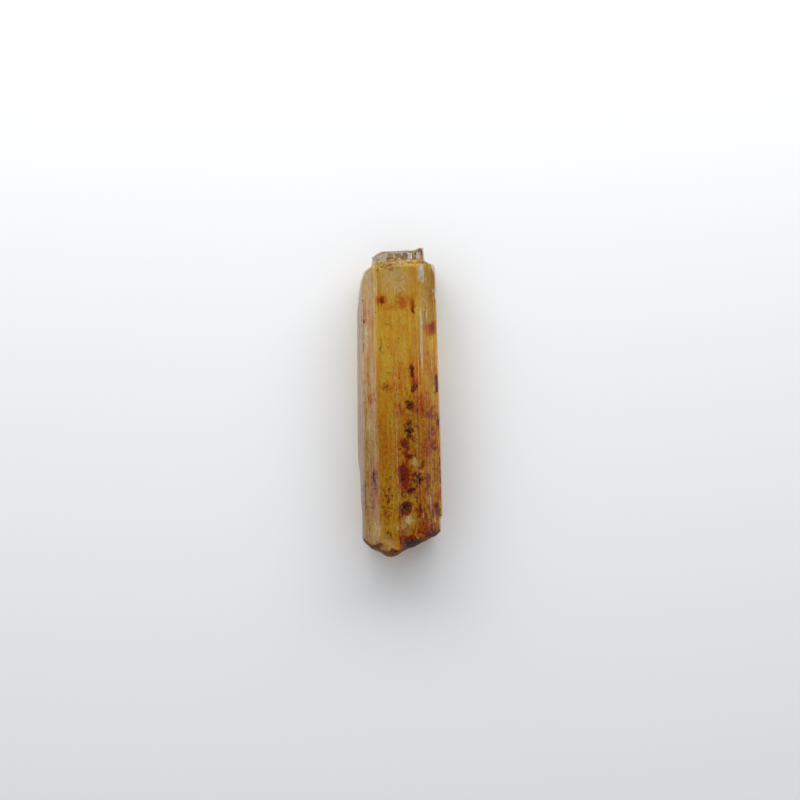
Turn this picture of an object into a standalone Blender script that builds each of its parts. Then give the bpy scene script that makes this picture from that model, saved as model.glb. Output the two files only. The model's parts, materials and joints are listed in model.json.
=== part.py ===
# A rough topaz crystal: one striated prism, lying on a prism face, with both ends broken off.
# +Z is up. The crystal's long axis, c, runs along Y, and the end with the ledge is at +Y.
# The origin is under the middle of the crystal, on the surface that it lies on.
# Sizes here are in millimetres, and the last step scales everything to metres.

import math
import random

import bmesh
import bpy
from mathutils import Euler, Matrix, Vector, noise

TO_METRES = 0.001

# Driving sizes. The solid is cut to this length by the breaks at its two ends.
LENGTH = 30.0
THICKNESS = 6.0
TOP_END = LENGTH / 2
BOTTOM_END = -LENGTH / 2
SPARE = 1.0  # how far the uncut prism runs past each end

# Topaz is orthorhombic. This ratio of its a and b axes fixes the angle between any two prism faces.
AXIAL_RATIO = 0.5285
UPPERMOST = (1, 2)  # this prism face lies on top, and the crystal rests on its opposite

# Distances of faces from the long axis, as (place along the axis, distance).
LEFT_WALL = (
    (16.0, 3.40),
    (11.4, 3.58),
    (9.4, 3.72),
    (4.0, 3.92),
    (-3.0, 4.06),
    (-5.6, 4.05),
    (-6.8, 3.87),
    (-9.4, 3.81),
    (-10.3, 3.72),
    (-16.0, 3.86),
)
RIGHT_WALL = (
    (16.0, 3.96),
    (10.9, 3.98),
    (10.3, 3.91),
    (9.8, 3.99),
    (0.0, 4.03),
    (-4.2, 4.07),
    (-10.92, 4.03),
    (-11.14, 3.85),
    (-16.0, 3.78),
)
RIGHT_FLANK = (
    (16.0, 3.64),
    (9.9, 3.67),
    (5.0, 3.75),
    (-7.5, 3.72),
    (-16.0, 3.70),
)

# The prism faces, clockwise seen from the -Y end: name, Miller indices h and k, distance from the
# long axis at mid length, and change of that distance for each millimetre towards +Y.
# Two faces that lean a degree and a half apart make the faint ridge along the middle of the top.
FACES = (
    ("top_left", 10, 19, 3.0042, 0.0),
    ("top_right", 10, 21, 2.9942, 0.0),
    ("right_flank", 1, 6, RIGHT_FLANK, 0.0),
    ("right_wall", -1, 2, RIGHT_WALL, 0.0),
    ("right_lower", -1, 1, 4.04, 0.0),
    ("bottom_right", -1, -1, 3.49, 0.0),
    ("bottom", -1, -2, THICKNESS / 2, 0.0),
    ("left_wall", 1, -2, LEFT_WALL, 0.0),
    ("left_upper", 1, -1, 3.877, -0.0167),
    ("left_slope", 1, 1, 3.424, -0.0058),
)

# Growth terraces on each face: strips along the crystal, each a little lower or higher than its
# neighbour. For each face, the narrowest and widest strip and how deep the strips go.
TERRACES = {
    "top_left": (0.16, 0.50, 0.045),
    "top_right": (0.20, 0.75, 0.055),
    "right_wall": (0.18, 0.60, 0.15),
    "right_lower": (0.16, 0.45, 0.15),
    "bottom_right": (0.18, 0.50, 0.12),
    "bottom": (0.25, 0.85, 0.06),
    "left_wall": (0.18, 0.55, 0.14),
    "left_upper": (0.16, 0.45, 0.08),
    "left_slope": (0.15, 0.42, 0.06),
}
FLAT_SHARE = {"bottom": (0.30, 0.72)}  # the part of a face's width that stays one flat strip
RISER = 0.07  # width of the steep strip between two terraces
FADE = 1.7  # length over which a terrace sinks to its depth

# The right flank is a stair of two faces in turn, which is what makes it look grooved.
STAIR_NARROWEST = 0.17
STAIR_WIDEST = 0.40
STAIR_SHALLOW = 0.20  # depth of a step for its width
STAIR_DEEP = 0.40
TREAD_SLOPE = 0.4856  # of a tread against the flank as a whole

STATION_STEP = 1.10
CLOSEST_STATIONS = 0.40
WELD = 0.002  # points nearer than this become one
ORDER = Vector((0.717, 1.0, 0.531))  # a mesh is put in order along this slant before it is tidied

# The +Y end. The body stops at a flat cleavage, and a lower ledge and a small block stand past it.
CLEAVAGE = 13.70

# Lower steps of the cleavage: polygons of (across, height), and the place along the axis of each.
CLEAVAGE_STEPS = (
    (((-4.6, -0.4), (-1.1, -0.4), (-1.7, 1.7), (-2.9, 3.9), (-4.6, 4.3)), 13.30),
    (((3.35, -0.4), (4.6, -0.4), (4.6, 5.3), (3.45, 4.6), (3.10, 2.2)), 13.48),
    (((-1.9, -0.4), (3.5, -0.4), (2.9, 0.55), (0.6, 0.85), (-1.4, 0.50)), 13.52),
)

# Outline of the broken -Y end seen from above, as (across, along).
BREAK_OUTLINE = (
    (-4.6, -12.0),
    (-3.94, -12.92),
    (-3.65, -13.47),
    (-3.04, -14.08),
    (-2.04, -14.58),
    (-1.60, -14.90),
    (-0.97, -15.00),
    (-0.42, -14.84),
    (0.21, -14.43),
    (1.14, -14.07),
    (1.93, -13.75),
    (2.56, -13.34),
    (3.18, -13.16),
    (3.66, -12.75),
    (4.6, -11.6),
)
BREAK_BULGE_HEIGHT = 2.2  # the height at which the break stands out furthest
BREAK_TOP_SETBACK = 0.62
BREAK_FOOT_SETBACK = 0.30
BREAK_ROUGHNESS = 0.20
BREAK_CELL = 0.25
BREAK_JITTER = 0.30  # how far a grid point strays, as a share of a cell
SHELL_SIZE = 1.3  # width of one shell-shaped hollow of the break
GRIT_SCALE = 3.2  # how many times finer its grit is
WASTE_WIDE = 10.0  # the block that is broken away
WASTE_TALL = 7.6
WASTE_DEEP = 4.0

# Chips struck from the edges: centre, half sizes, and turn in degrees about Z.
CHIPS = (
    ((2.60, 12.15, 6.00), (0.30, 1.00, 0.26), 3),
    ((2.44, 10.30, 5.97), (0.12, 0.80, 0.11), -2),
    ((2.44, 8.60, 5.99), (0.14, 0.42, 0.15), -4),
    ((2.46, 7.60, 5.99), (0.13, 0.32, 0.14), 5),
    ((2.50, 5.60, 5.98), (0.12, 1.10, 0.12), 1),
    ((3.98, 11.00, 4.90), (0.30, 0.30, 0.40), 20),
    ((4.10, 9.95, 3.20), (0.16, 0.60, 0.90), -6),
    ((4.14, 2.30, 4.60), (0.14, 0.70, 0.30), 2),
    ((4.16, -2.10, 4.90), (0.18, 0.50, 0.30), 3),
    ((4.14, -6.60, 2.60), (0.16, 0.90, 0.60), -3),
    ((3.95, -11.20, 5.10), (0.26, 0.40, 0.40), 24),
    ((-3.34, 9.10, 5.46), (0.14, 0.80, 0.16), 2),
    ((-3.42, 1.30, 5.50), (0.13, 0.60, 0.15), 3),
    ((-3.52, -6.90, 5.48), (0.18, 1.10, 0.20), -2),
    ((-3.96, -12.60, 3.60), (0.30, 0.60, 0.70), 14),
    ((-1.92, 13.70, 5.95), (0.34, 0.30, 0.22), 35),
    ((-0.60, 13.78, 6.00), (0.50, 0.16, 0.14), 6),
    ((0.80, 13.78, 6.02), (0.60, 0.20, 0.18), -7),
    ((2.10, 13.76, 5.98), (0.36, 0.16, 0.16), 12),
    ((-2.50, -13.95, 6.05), (0.95, 0.45, 0.50), 24),
    ((-0.80, -14.45, 6.05), (0.75, 0.45, 0.48), -8),
    ((0.95, -13.80, 6.10), (1.05, 0.40, 0.44), -20),
    ((2.70, -13.05, 5.95), (0.60, 0.34, 0.40), -28),
    ((3.40, 13.46, 5.40), (0.40, 0.24, 0.34), -28),
    ((-1.70, 14.50, 4.60), (0.30, 0.24, 0.26), 40),
    ((0.10, 14.80, 4.70), (0.70, 0.20, 0.30), 4),
    ((-1.95, 14.25, 2.60), (0.26, 0.30, 0.90), 35),
    ((2.92, 14.90, 4.40), (0.20, 0.22, 0.50), 15),
)
CHIP_RAGGEDNESS = 0.30
CHIP_TUMBLE = 0.2  # the most that a chip's lump is turned about each axis, in radians

# Splits that take off the body's shoulders at the +Y end, as two points of a line seen from above,
# the height at which the line lies, and the cut's lean in degrees.
SHOULDER_SPLITS = (
    ((-2.98, 12.86), (-2.08, 13.64), 2.6, 5),
    ((-3.34, 11.90), (-2.98, 12.86), 2.6, 4),
    ((-3.66, 9.60), (-3.34, 11.90), 3.0, 2),
    ((-3.20, 12.62), (-2.60, 13.64), 2.2, -10),
    ((3.05, 13.72), (3.74, 13.36), 3.4, 5),
    ((3.74, 13.36), (4.02, 12.40), 3.4, 7),
    ((3.50, 13.74), (4.02, 12.90), 1.2, -8),
)

# What stands past the cleavage: two opposite corners of the rough box that each piece is split
# from, its splits, and the planes that slope its top and foot, as (point, outward direction).
LEDGE_BOX = ((-2.6, 12.4, 0.3), (3.2, 16.0, 5.6))
LEDGE_SPLITS = (
    ((-2.11, 13.00), (-2.08, 14.03), 4.4, 4),
    ((-2.08, 14.03), (-1.53, 14.50), 4.4, 9),
    ((-1.53, 14.50), (-1.03, 14.71), 4.2, 6),
    ((-1.03, 14.72), (0.40, 14.75), 3.6, 4),
    ((0.40, 14.75), (1.60, 14.72), 2.4, -4),
    ((-2.40, 13.60), (-1.20, 14.60), 1.8, -12),
    ((2.90, 14.70), (2.93, 13.00), 3.4, 2),
)
LEDGE_PLANES = (
    ((0.0, 13.70, 4.90), (0.06, 0.26, 1.0)),
    ((-1.2, 14.20, 4.62), (-0.34, 0.40, 1.0)),
    ((0.0, 13.70, 0.70), (-0.10, 0.45, -1.0)),
    ((1.6, 14.30, 1.25), (0.30, 0.70, -1.0)),
)
BLOCK_BOX = ((1.2, 12.5, 1.6), (3.3, 16.0, 5.7))
BLOCK_SPLITS = (
    ((1.66, 12.90), (1.45, 14.76), 5.0, -3),
    ((1.45, 14.76), (2.05, 14.84), 4.9, 5),
    ((2.05, 14.82), (2.50, 15.00), 4.8, 3),
    ((2.50, 15.00), (2.80, 14.82), 4.6, 6),
    ((2.80, 14.82), (2.96, 12.90), 4.4, 3),
    ((1.45, 14.70), (2.80, 14.90), 2.6, -9),
)
BLOCK_PLANES = (
    ((2.2, 13.70, 5.50), (0.16, -0.10, 1.0)),
    ((2.0, 14.60, 5.50), (-0.30, 0.55, 1.0)),
    ((2.2, 13.70, 2.20), (0.30, 0.25, -1.0)),
)

# Seeds of what varies by chance: the terraces, the broken end and the chips.
RELIEF_SEED = 21
BREAK_SEED = 3
CHIP_SEED = 7


def along_profile(profile, place):
    # A straight-line reading of a list of (place, value) that runs either way.
    points = sorted(profile)
    if place <= points[0][0]:
        return points[0][1]
    for (start, low), (end, high) in zip(points, points[1:]):
        if place <= end:
            return low + (high - low) * (place - start) / (end - start)
    return points[-1][1]


def face_normal(face):
    # The outward normal of a prism face in the plane across the crystal: (+X part, +Z part).
    _, h, k = face[:3]
    lean = math.atan2(k * AXIAL_RATIO, h) - math.atan2(UPPERMOST[1] * AXIAL_RATIO, UPPERMOST[0])
    return Vector((math.sin(lean), math.cos(lean)))


def face_distance(face, place):
    distance, taper = face[3:]
    if isinstance(distance, tuple):
        return along_profile(distance, place)
    return distance + taper * place


def meeting_point(first, second, place):
    # Where two neighbouring faces meet in the cross-section at a place along the axis.
    a, b = face_normal(first), face_normal(second)
    da, db = face_distance(first, place), face_distance(second, place)
    det = a.x * b.y - a.y * b.x
    return Vector(((da * b.y - db * a.y) / det, (a.x * db - b.x * da) / det))


def section_corners(place):
    return [meeting_point(FACES[i - 1], FACES[i], place) for i in range(len(FACES))]


def divide(width, narrowest, widest, dice):
    # Cuts a width into strips of unequal size, and returns where they start and end.
    cuts = [0.0]
    while width - cuts[-1] > widest:
        cuts.append(cuts[-1] + dice.uniform(narrowest, widest))
    return [*cuts, width]


def make_terraces(name, width, dice):
    # Points of the face's relief: (share of the face's width, depth, start, end), where the last
    # two are the stretch of the crystal's length over which the point is sunk.
    narrowest, widest, relief = TERRACES[name]
    cuts = divide(width, narrowest, widest, dice)
    flat_from, flat_to = FLAT_SHARE.get(name, (2, 2))
    level = 0.0
    points = []
    for start, end in zip(cuts, cuts[1:]):
        gap = min(RISER, (end - start) * 0.3) / 2
        span = dice.uniform(0.35, 1.3) * LENGTH
        middle = dice.uniform(-0.55, 0.55) * LENGTH
        if flat_from < (start + end) / 2 / width < flat_to:
            level = 0.0
        for place in (start + gap, end - gap):
            points.append((place / width, level * relief, middle - span / 2, middle + span / 2))
        level = dice.choice((0.0, dice.uniform(0.3, 1.0), dice.uniform(0.1, 0.5)))
    return points


def make_stair(width, dice):
    # The same for a stair: the outer corner of each step lies on the face, and the inner is sunk.
    cuts = divide(width, STAIR_NARROWEST, STAIR_WIDEST, dice)
    points = [(0.0, 0.0, -LENGTH, LENGTH)]
    for start, end in zip(cuts, cuts[1:]):
        depth = dice.uniform(STAIR_SHALLOW, STAIR_DEEP) * (end - start)
        inner = end - depth / TREAD_SLOPE
        span = dice.uniform(0.8, 2.2) * LENGTH
        middle = dice.uniform(-0.5, 0.5) * LENGTH
        points.append((inner / width, depth, middle - span / 2, middle + span / 2))
        points.append((end / width, 0.0, -LENGTH, LENGTH))
    return points


def make_relief(dice):
    corners = section_corners(0.0)
    made = []
    for i, face in enumerate(FACES):
        width = (corners[(i + 1) % len(FACES)] - corners[i]).length
        if face[0] == "right_flank":
            made.append(make_stair(width, dice))
        else:
            made.append(make_terraces(face[0], width, dice))
    return made


def smooth_step(share):
    share = min(max(share, 0.0), 1.0)
    return share * share * (3 - 2 * share)


def sunk_depth(point, place):
    _, depth, start, end = point
    return depth * smooth_step((place - start) / FADE) * smooth_step((end - place) / FADE)


def section(place, relief):
    # The closed outline of the crystal at a place along the axis, terrace by terrace.
    corners = section_corners(place)
    points = []
    for i, face in enumerate(FACES):
        start, end = corners[i], corners[(i + 1) % len(FACES)]
        normal = face_normal(face)
        for point in relief[i]:
            flat = start.lerp(end, point[0]) - normal * sunk_depth(point, place)
            points.append(Vector((flat.x, place, flat.y + THICKNESS / 2)))
    return points


def put_in_order(mesh):
    # An exact Boolean returns its points and faces in no fixed order, so each run would tidy them
    # a little differently. In a fixed order, every run gives the same solid.
    mesh.verts.sort(key=lambda vert: vert.co.dot(ORDER))
    mesh.verts.index_update()
    mesh.edges.sort(key=lambda edge: (edge.verts[0].co + edge.verts[1].co).dot(ORDER))
    mesh.faces.sort(key=lambda face: face.calc_center_median().dot(ORDER))


def tidy(mesh):
    # Joins points that nearly touch, drops what collapses, and leaves only flat triangles.
    put_in_order(mesh)
    bmesh.ops.remove_doubles(mesh, verts=mesh.verts, dist=WELD)
    bmesh.ops.dissolve_degenerate(mesh, edges=mesh.edges, dist=WELD)
    bmesh.ops.triangulate(mesh, faces=mesh.faces)
    bmesh.ops.recalc_face_normals(mesh, faces=mesh.faces)


def loft(name, rings):
    # A closed solid through the rings, which have equal numbers of points.
    mesh = bmesh.new()
    rows = [[mesh.verts.new(point) for point in ring] for ring in rings]
    count = len(rows[0])
    for near, far in zip(rows, rows[1:]):
        for i in range(count):
            j = (i + 1) % count
            mesh.faces.new((near[i], far[i], far[j], near[j]))
    mesh.faces.new(rows[0])
    mesh.faces.new(reversed(rows[-1]))
    tidy(mesh)
    data = bpy.data.meshes.new(name)
    mesh.to_mesh(data)
    mesh.free()
    made = bpy.data.objects.new(name, data)
    bpy.context.scene.collection.objects.link(made)
    return made


def stations(start, end):
    # Even steps along the axis, with the bends of the two side walls kept exactly.
    bends = {place for profile in (LEFT_WALL, RIGHT_WALL) for place, _ in profile}
    places = sorted({start, end} | {bend for bend in bends if start < bend < end})
    steps = round((end - start) / STATION_STEP)
    for i in range(1, steps):
        place = start + (end - start) * i / steps
        if min(abs(place - other) for other in places) > CLOSEST_STATIONS:
            places.append(place)
    return sorted(places)


def split_off(made, point, normal):
    # Removes everything beyond a plane and closes the cut with one flat face.
    mesh = bmesh.new()
    mesh.from_mesh(made.data)
    bmesh.ops.bisect_plane(
        mesh,
        geom=[*mesh.verts, *mesh.edges, *mesh.faces],
        plane_co=point,
        plane_no=normal,
        clear_outer=True,
        dist=1e-4,
    )
    bmesh.ops.remove_doubles(mesh, verts=mesh.verts, dist=WELD)
    rim = [edge for edge in mesh.edges if edge.is_boundary]
    bmesh.ops.holes_fill(mesh, edges=rim, sides=0)
    tidy(mesh)
    mesh.to_mesh(made.data)
    mesh.free()


def split_along(made, start, end, height, lean):
    # Splits along a line seen from above, given as two (across, along) points in millimetres with
    # the waste on the left of the line. The line lies at a height, and the cut leans by degrees.
    a, b = Vector((*start, 0)), Vector((*end, 0))
    run = (b - a).normalized()
    outward = Vector((-run.y, run.x, 0))
    normal = outward * math.cos(math.radians(lean)) + Vector((0, 0, math.sin(math.radians(lean))))
    split_off(made, a + Vector((0, 0, height)), normal)


def make_body(relief):
    places = stations(BOTTOM_END - SPARE, TOP_END + SPARE)
    body = loft("topaz_crystal", [section(place, relief) for place in places])
    split_off(body, Vector((0, CLEAVAGE, 0)), Vector((0, 1, 0)))
    for split in SHOULDER_SPLITS:
        split_along(body, *split)
    return body


def rough_block(name, low, high):
    # A box from one corner to the opposite one, ready to be split.
    mesh = bmesh.new()
    bmesh.ops.create_cube(mesh, size=1)
    low, high = Vector(low), Vector(high)
    scale = Matrix.Diagonal((*(high - low), 1))
    bmesh.ops.transform(mesh, matrix=Matrix.Translation((low + high) / 2) @ scale, verts=mesh.verts)
    tidy(mesh)
    data = bpy.data.meshes.new(name)
    mesh.to_mesh(data)
    mesh.free()
    made = bpy.data.objects.new(name, data)
    bpy.context.scene.collection.objects.link(made)
    return made


def make_growth(name, box, splits, planes):
    # A rough box, split by planes all round.
    growth = rough_block(name, *box)
    for split in splits:
        split_along(growth, *split)
    for point, outward in planes:
        split_off(growth, Vector(point), Vector(outward).normalized())
    return growth


def cutter_object(name, mesh):
    data = bpy.data.meshes.new(name)
    mesh.to_mesh(data)
    mesh.free()
    made = bpy.data.objects.new(name, data)
    bpy.data.collections["cutters"].objects.link(made)
    made.hide_render = True
    made.display_type = "WIRE"
    return made


def make_step_cutters():
    # Blocks that take the cleavage a little deeper over part of the end.
    blocks = []
    for i, (outline, place) in enumerate(CLEAVAGE_STEPS):
        mesh = bmesh.new()
        ring = [mesh.verts.new(Vector((x, place, z))) for x, z in outline]
        face = mesh.faces.new(ring)
        pushed = bmesh.ops.extrude_face_region(mesh, geom=[face])
        far = [v for v in pushed["geom"] if isinstance(v, bmesh.types.BMVert)]
        bmesh.ops.translate(mesh, verts=far, vec=(0, TOP_END, 0))
        bmesh.ops.recalc_face_normals(mesh, faces=mesh.faces)
        blocks.append(cutter_object(f"cleavage_cutter_{i}", mesh))
    return blocks


def break_surface(across, height):
    # How far along the axis the broken end's surface lies, at a place on it.
    outline = along_profile(BREAK_OUTLINE, across)
    if height > BREAK_BULGE_HEIGHT:
        share = (height - BREAK_BULGE_HEIGHT) / (THICKNESS - BREAK_BULGE_HEIGHT)
        setback = BREAK_TOP_SETBACK * share * share
    else:
        share = (BREAK_BULGE_HEIGHT - height) / BREAK_BULGE_HEIGHT
        setback = BREAK_FOOT_SETBACK * share * share
    place = Vector((across, height, 0)) / SHELL_SIZE
    shell = abs(noise.noise(place + Vector((3.1, 0.7, 0))))
    grit = 0.5 + 0.5 * noise.noise(place * GRIT_SCALE)
    return outline + setback + BREAK_ROUGHNESS * (shell + 0.5 * grit - 0.4)


def make_break_cutter(dice):
    # A block that fills the space past the broken end, its near side shaped like the break.
    columns, rows = round(WASTE_WIDE / BREAK_CELL), round(WASTE_TALL / BREAK_CELL)
    mesh = bmesh.new()
    bmesh.ops.create_grid(mesh, x_segments=columns, y_segments=rows, size=0.5)
    size = Matrix.Diagonal((WASTE_WIDE, WASTE_TALL, 1, 1))
    stand_up = Matrix.Rotation(math.radians(90), 4, "X") @ size
    bmesh.ops.transform(mesh, matrix=stand_up, verts=mesh.verts)
    for vert in mesh.verts:
        if not vert.is_boundary:
            stray = [dice.uniform(-BREAK_JITTER, BREAK_JITTER) * BREAK_CELL for _ in range(2)]
            vert.co += Vector((stray[0], 0, stray[1]))
    near = list(mesh.verts)
    pushed = bmesh.ops.extrude_face_region(mesh, geom=list(mesh.faces))
    far = [v for v in pushed["geom"] if isinstance(v, bmesh.types.BMVert)]
    for vert in near:
        vert.co.z += THICKNESS / 2
        vert.co.y = break_surface(vert.co.x, vert.co.z)
    for vert in far:
        vert.co.z += THICKNESS / 2
        vert.co.y = BOTTOM_END - WASTE_DEEP
    bmesh.ops.recalc_face_normals(mesh, faces=mesh.faces)
    return cutter_object("break_cutter", mesh)


def make_chip_cutters(dice):
    # Small ragged lumps whose overlap with the crystal is struck away.
    lumps = []
    for i, (centre, half_size, turn) in enumerate(CHIPS):
        mesh = bmesh.new()
        bmesh.ops.create_icosphere(mesh, subdivisions=2, radius=1.0)
        for vert in mesh.verts:
            rough = noise.noise(vert.co * 1.9 + Vector((i * 7.3, 0, 0)))
            vert.co *= 1 + CHIP_RAGGEDNESS * rough * 2
        turns = [dice.uniform(-CHIP_TUMBLE, CHIP_TUMBLE) for _ in range(3)]
        tumble = Euler(turns).to_matrix().to_4x4()
        spin = Matrix.Rotation(math.radians(turn), 4, "Z")
        scale = Matrix.Diagonal((*half_size, 1))
        place = Matrix.Translation(Vector(centre))
        bmesh.ops.transform(mesh, matrix=place @ spin @ scale @ tumble, verts=mesh.verts)
        lumps.append(cutter_object(f"chip_cutter_{i}", mesh))
    return lumps


def combine(base, other, operation):
    # Joins or cuts with an exact Boolean, and keeps the result as the base object's own mesh.
    step = base.modifiers.new("combine", "BOOLEAN")
    step.operation = operation
    step.object = other
    step.solver = "EXACT"
    bpy.context.view_layer.update()
    graph = bpy.context.evaluated_depsgraph_get()
    made = bpy.data.meshes.new_from_object(base.evaluated_get(graph))
    base.modifiers.clear()
    base.data = made
    mesh = bmesh.new()
    mesh.from_mesh(made)
    tidy(mesh)
    mesh.to_mesh(made)
    mesh.free()


def scale_to_metres():
    for made in bpy.data.objects:
        made.data.transform(Matrix.Scale(TO_METRES, 4))


def stand_on_origin(crystal):
    # Puts the origin under the middle of the crystal, with its lowest face at height zero.
    points = [vert.co for vert in crystal.data.vertices]
    low = Vector([min(point[axis] for point in points) for axis in range(3)])
    high = Vector([max(point[axis] for point in points) for axis in range(3)])
    middle = (low + high) / 2
    crystal.data.transform(Matrix.Translation((-middle.x, -middle.y, -low.z)))


def topaz_material():
    material = bpy.data.materials.new("amber_topaz")
    material.use_nodes = True
    shader = material.node_tree.nodes["Principled BSDF"]
    shader.inputs["Base Color"].default_value = (0.62, 0.33, 0.07, 1)
    shader.inputs["Roughness"].default_value = 0.16
    shader.inputs["Metallic"].default_value = 0.0
    shader.inputs["IOR"].default_value = 1.62
    shader.inputs["Transmission Weight"].default_value = 0.85
    return material


def main():
    for old in list(bpy.data.objects):
        bpy.data.objects.remove(old)
    for name in ("topaz_crystal", "cutters"):
        bpy.context.scene.collection.children.link(bpy.data.collections.new(name))

    relief = make_relief(random.Random(RELIEF_SEED))
    crystal = make_body(relief)
    # The ledge stands at about two thirds of the height, and the block at its right reaches furthest.
    ledge = make_growth("ledge", LEDGE_BOX, LEDGE_SPLITS, LEDGE_PLANES)
    block = make_growth("block", BLOCK_BOX, BLOCK_SPLITS, BLOCK_PLANES)
    for growth in (ledge, block):
        combine(crystal, growth, "UNION")
        bpy.data.objects.remove(growth)
    combine(crystal, make_break_cutter(random.Random(BREAK_SEED)), "DIFFERENCE")
    for cutter in (*make_step_cutters(), *make_chip_cutters(random.Random(CHIP_SEED))):
        combine(crystal, cutter, "DIFFERENCE")
    stand_on_origin(crystal)
    scale_to_metres()

    crystal.data.materials.clear()
    crystal.data.materials.append(topaz_material())
    bpy.context.scene.collection.objects.unlink(crystal)
    bpy.data.collections["topaz_crystal"].objects.link(crystal)


main()
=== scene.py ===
# A rough topaz crystal lying on a pale sheet, seen from straight above.
# The crystal's long axis runs along Y, its ledge end at +Y, and it lies on a prism face.

import json
import math
import random

import bpy
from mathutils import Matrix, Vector
from mathutils.bvhtree import BVHTree

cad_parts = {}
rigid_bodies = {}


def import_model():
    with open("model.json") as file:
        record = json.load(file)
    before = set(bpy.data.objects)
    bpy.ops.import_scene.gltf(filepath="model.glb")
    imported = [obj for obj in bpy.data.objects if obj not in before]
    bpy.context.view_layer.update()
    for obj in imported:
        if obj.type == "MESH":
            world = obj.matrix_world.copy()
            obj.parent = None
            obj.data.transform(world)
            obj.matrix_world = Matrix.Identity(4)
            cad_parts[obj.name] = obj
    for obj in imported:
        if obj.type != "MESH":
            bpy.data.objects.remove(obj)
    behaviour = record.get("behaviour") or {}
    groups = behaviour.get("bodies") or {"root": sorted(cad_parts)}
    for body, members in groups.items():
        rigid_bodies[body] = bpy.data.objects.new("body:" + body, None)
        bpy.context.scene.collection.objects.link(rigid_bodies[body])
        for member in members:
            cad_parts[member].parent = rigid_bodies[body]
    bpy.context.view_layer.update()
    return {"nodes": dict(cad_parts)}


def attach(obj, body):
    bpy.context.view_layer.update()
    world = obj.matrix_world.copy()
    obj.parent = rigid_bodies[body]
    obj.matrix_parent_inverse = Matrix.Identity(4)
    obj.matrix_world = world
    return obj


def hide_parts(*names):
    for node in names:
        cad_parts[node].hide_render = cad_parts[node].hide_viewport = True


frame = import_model()
perMetre = 1000  # sizes here are in millimetres, and each finished piece is scaled back
print("frame loaded")


class Wire:  # a socket, so that shader maths reads as arithmetic
    def __init__(self, tree, socket=None):
        self.tree, self.socket = tree, socket

    def add(self, kind, settings=None, inputs=None, output=0):  # any node: its settings, then its sockets
        node = self.tree.nodes.new(kind)
        for name, value in (settings or {}).items():
            setattr(node, name, value)
        for name, value in (inputs or {}).items():
            if isinstance(value, Wire):
                self.tree.links.new(value.socket, node.inputs[name])
            else:
                node.inputs[name].default_value = value
        return Wire(self.tree, node.outputs[output])

    def maths(self, operation, *values):
        return self.add("ShaderNodeMath", {"operation": operation}, dict(enumerate(values)))

    def __add__(self, other):
        return self.maths("ADD", self, other)

    def __radd__(self, other):
        return self.maths("ADD", other, self)

    def __sub__(self, other):
        return self.maths("SUBTRACT", self, other)

    def __rsub__(self, other):
        return self.maths("SUBTRACT", other, self)

    def __mul__(self, other):
        return self.maths("MULTIPLY", self, other)

    def __rmul__(self, other):
        return self.maths("MULTIPLY", other, self)

    def larger(self, other):
        return self.maths("MAXIMUM", self, other)

    def between(self, low, high):  # 0 at low and 1 at high, eased
        return self.add(
            "ShaderNodeMapRange",
            {"interpolation_type": "SMOOTHSTEP"},
            {"Value": self, "From Min": low, "From Max": high},
        )

    def mixed(self, first, second):  # the wire itself is the share of the second colour
        inputs = {0: self, 6: first, 7: second}
        return self.add("ShaderNodeMix", {"data_type": "RGBA"}, inputs, output=2)

    def tinted(self, share, tint):  # a colour, multiplied by the tint where share is 1
        settings = {"data_type": "RGBA", "blend_type": "MULTIPLY"}
        return self.add("ShaderNodeMix", settings, {0: share, 6: self, 7: tint}, output=2)

    def axis(self, number):  # 0 across, 1 along, 2 up
        return self.add("ShaderNodeSeparateXYZ", None, {0: self}, output=number)

    def vector(self, operation, *others, output="Vector"):
        inputs = dict(enumerate((self, *others)))
        return self.add("ShaderNodeVectorMath", {"operation": operation}, inputs, output)

    def noise(self, cell, offset, detail):  # cell is the size of a mark across, along and up
        scaled = self.add(
            "ShaderNodeMapping",
            None,
            {"Vector": self, "Location": (offset,) * 3, "Scale": tuple(1 / size for size in cell)},
        )
        return self.add("ShaderNodeTexNoise", None, {"Vector": scaled, "Scale": 1.0, "Detail": detail})

    def spot(self, centre, radii, shape):  # 1 in the middle of a place on the crystal's top, 0 outside it
        away = self.vector("SUBTRACT", (*centre, shape["height"]))
        away = away.vector("MULTIPLY", (1 / radii[0], 1 / radii[1], shape["fade"]))
        return away.vector("LENGTH", output="Value").between(*shape["edge"])


def newMaterial(name):
    material = bpy.data.materials.new(name)
    material.use_nodes = True
    tree = material.node_tree
    shader = tree.nodes["Principled BSDF"]
    place = Wire(tree).add("ShaderNodeTexCoord", output="Object")
    millimetres = place.add("ShaderNodeMapping", None, {"Vector": place, "Scale": (perMetre,) * 3})
    return material, shader, millimetres


def feed(shader, name, wire):
    wire.tree.links.new(wire.socket, shader.inputs[name])


def select(piece):
    bpy.ops.object.select_all(action="DESELECT")
    piece.select_set(True)
    bpy.context.view_layer.objects.active = piece


def applyModifiers(piece):
    select(piece)
    for modifier in list(piece.modifiers):
        bpy.ops.object.modifier_apply(modifier=modifier.name)


def toMetres(piece):
    select(piece)
    piece.scale = (1 / perMetre,) * 3
    bpy.ops.object.transform_apply(location=False, rotation=False, scale=True)


# The crystal's skin: how finely it is divided, its striations, and the roughness of its broken ends.
crystalSkin = {
    "weld": 0.003,
    "cell": 0.063,  # the width of a face
    "cellLengthening": 3.0,  # how much longer than wide a face is
    "sidesToEnds": (0.25, 0.60),  # the lengthwise part of a normal where sides stop and ends are full
    "relief": (
        {"width": 0.12, "length": 6.0, "depth": 0.050, "where": "sides"},
        {"width": 0.34, "length": 14.0, "depth": 0.070, "where": "sides"},
        {"width": 0.20, "length": 0.20, "depth": 0.10, "where": "ends"},
        {"width": 0.60, "length": 0.60, "depth": 0.14, "where": "ends"},
    ),
    "reliefStep": (3.7, 5.3, 0.0),  # from one relief's place in its pattern to the next one's
    "sharpEdge": 32,  # degrees
}


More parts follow.
